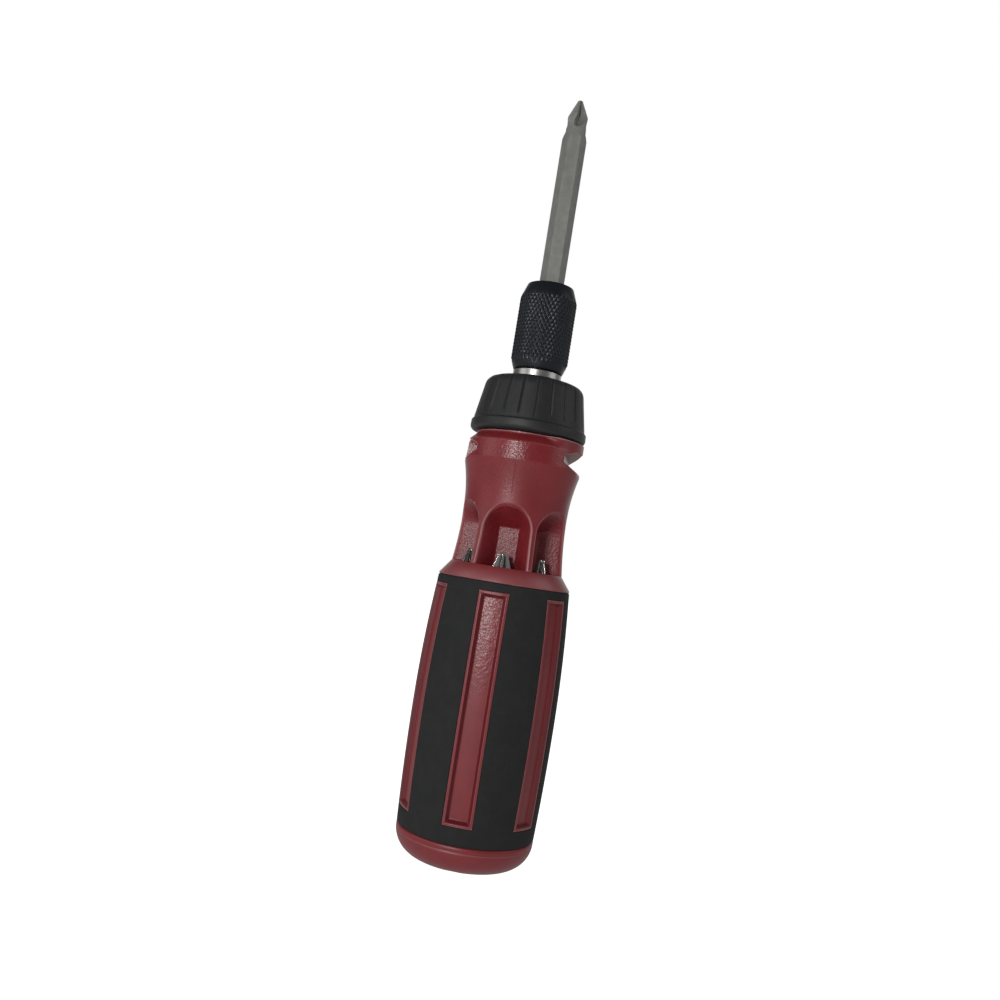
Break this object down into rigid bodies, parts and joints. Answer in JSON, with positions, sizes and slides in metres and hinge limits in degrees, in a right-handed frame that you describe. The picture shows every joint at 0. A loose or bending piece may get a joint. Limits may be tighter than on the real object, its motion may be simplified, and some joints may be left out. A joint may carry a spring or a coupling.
{
  "type": "ratcheting multi-bit screwdriver",
  "caption": "Ratcheting screwdriver with a long hex bit in a pull-to-release chuck, a fluted selector collar and spare bits stored round a windowed, rubber-gripped handle.",
  "frame": {"origin": "centre of the handle's base, on the surface that it stands on", "axes": "+Z along the tool's axis towards the working tip; a storage window faces -Y"},
  "size_m": [0.0412, 0.0408, 0.225],
  "materials": {
    "red_plastic": "moulded, fine grain",
    "grip_rubber": "matte",
    "black_plastic": "satin",
    "turned_steel": "turned",
    "black_steel": "blackened and knurled",
    "bit_steel": "blasted",
    "zinc_steel": "plain",
    "inner_steel": "plain"
  },
  "bodies": {
    "handle": {"handle_core": "red_plastic", "handle_head": "red_plastic", "grip_sleeve": "grip_rubber", "ratchet_body": "zinc_steel", "ratchet_cover": "zinc_steel", "cover_screws": "inner_steel", "pawl_pins": "inner_steel", "pawl_springs": "inner_steel", "detent_ball": "inner_steel", "detent_spring": "inner_steel"},
    "selector": {"selector_collar": "black_plastic"},
    "forward_pawl": {"pawl_forward": "inner_steel"},
    "reverse_pawl": {"pawl_reverse": "inner_steel"},
    "spindle": {"spindle": "turned_steel", "ratchet_gear": "inner_steel", "spindle_washer": "inner_steel", "spindle_circlip": "inner_steel", "chuck_balls": "inner_steel", "chuck_washer": "inner_steel", "chuck_snap_ring": "inner_steel", "bit_magnet": "inner_steel", "chuck_spring": "inner_steel"},
    "sleeve": {"chuck_sleeve": "black_steel"},
    "fitted_bit": {"driver_bit": "bit_steel"},
    "stored_cross_large_bit": {"stored_cross_large": "bit_steel"},
    "stored_cross_small_bit": {"stored_cross_small": "bit_steel"},
    "stored_slotted_wide_bit": {"stored_slotted_wide": "bit_steel"},
    "stored_square_bit": {"stored_square": "bit_steel"},
    "stored_slotted_narrow_bit": {"stored_slotted_narrow": "bit_steel"},
    "stored_cross_medium_bit": {"stored_cross_medium": "bit_steel"}
  },
  "joints": [
    {"name": "selector_turn", "type": "hinge", "parent": "handle", "child": "selector", "pos_m": [0, 0, 0.13], "axis": [0, 0, 1], "range_deg": [-20, 20]},
    {"name": "forward_pawl_swing", "type": "hinge", "parent": "handle", "child": "forward_pawl", "pos_m": [0.0086, 0, 0.128], "axis": [0, 0, 1], "range_deg": [-5, 5]},
    {"name": "reverse_pawl_swing", "type": "hinge", "parent": "handle", "child": "reverse_pawl", "pos_m": [-0.0086, 0, 0.128], "axis": [0, 0, 1], "range_deg": [-5, 5]},
    {"name": "spindle_spin", "type": "hinge", "parent": "handle", "child": "spindle", "pos_m": [0, 0, 0.13], "axis": [0, 0, 1], "continuous": true},
    {"name": "sleeve_slide", "type": "slide", "parent": "spindle", "child": "sleeve", "axis": [0, 0, 1], "range_m": [0, 0.004], "stiffness_N_per_m": 900, "springref_m": -0.002, "deforming": ["chuck_spring"]},
    {"name": "fitted_bit_pull", "type": "slide", "parent": "spindle", "child": "fitted_bit", "axis": [0, 0, 1], "range_m": [0, 0.03]},
    {"name": "stored_cross_large_draw", "type": "slide", "parent": "handle", "child": "stored_cross_large_bit", "axis": [0, 0, -1], "range_m": [0, 0.09]},
    {"name": "stored_cross_small_draw", "type": "slide", "parent": "handle", "child": "stored_cross_small_bit", "axis": [0, 0, -1], "range_m": [0, 0.09]},
    {"name": "stored_slotted_wide_draw", "type": "slide", "parent": "handle", "child": "stored_slotted_wide_bit", "axis": [0, 0, -1], "range_m": [0, 0.09]},
    {"name": "stored_square_draw", "type": "slide", "parent": "handle", "child": "stored_square_bit", "axis": [0, 0, -1], "range_m": [0, 0.09]},
    {"name": "stored_slotted_narrow_draw", "type": "slide", "parent": "handle", "child": "stored_slotted_narrow_bit", "axis": [0, 0, -1], "range_m": [0, 0.09]},
    {"name": "stored_cross_medium_draw", "type": "slide", "parent": "handle", "child": "stored_cross_medium_bit", "axis": [0, 0, -1], "range_m": [0, 0.09]}
  ],
  "couplings": [
    {"joint": "forward_pawl_swing", "follows": "selector_turn", "ratio": 0.25},
    {"joint": "reverse_pawl_swing", "follows": "selector_turn", "ratio": 0.25}
  ]
}
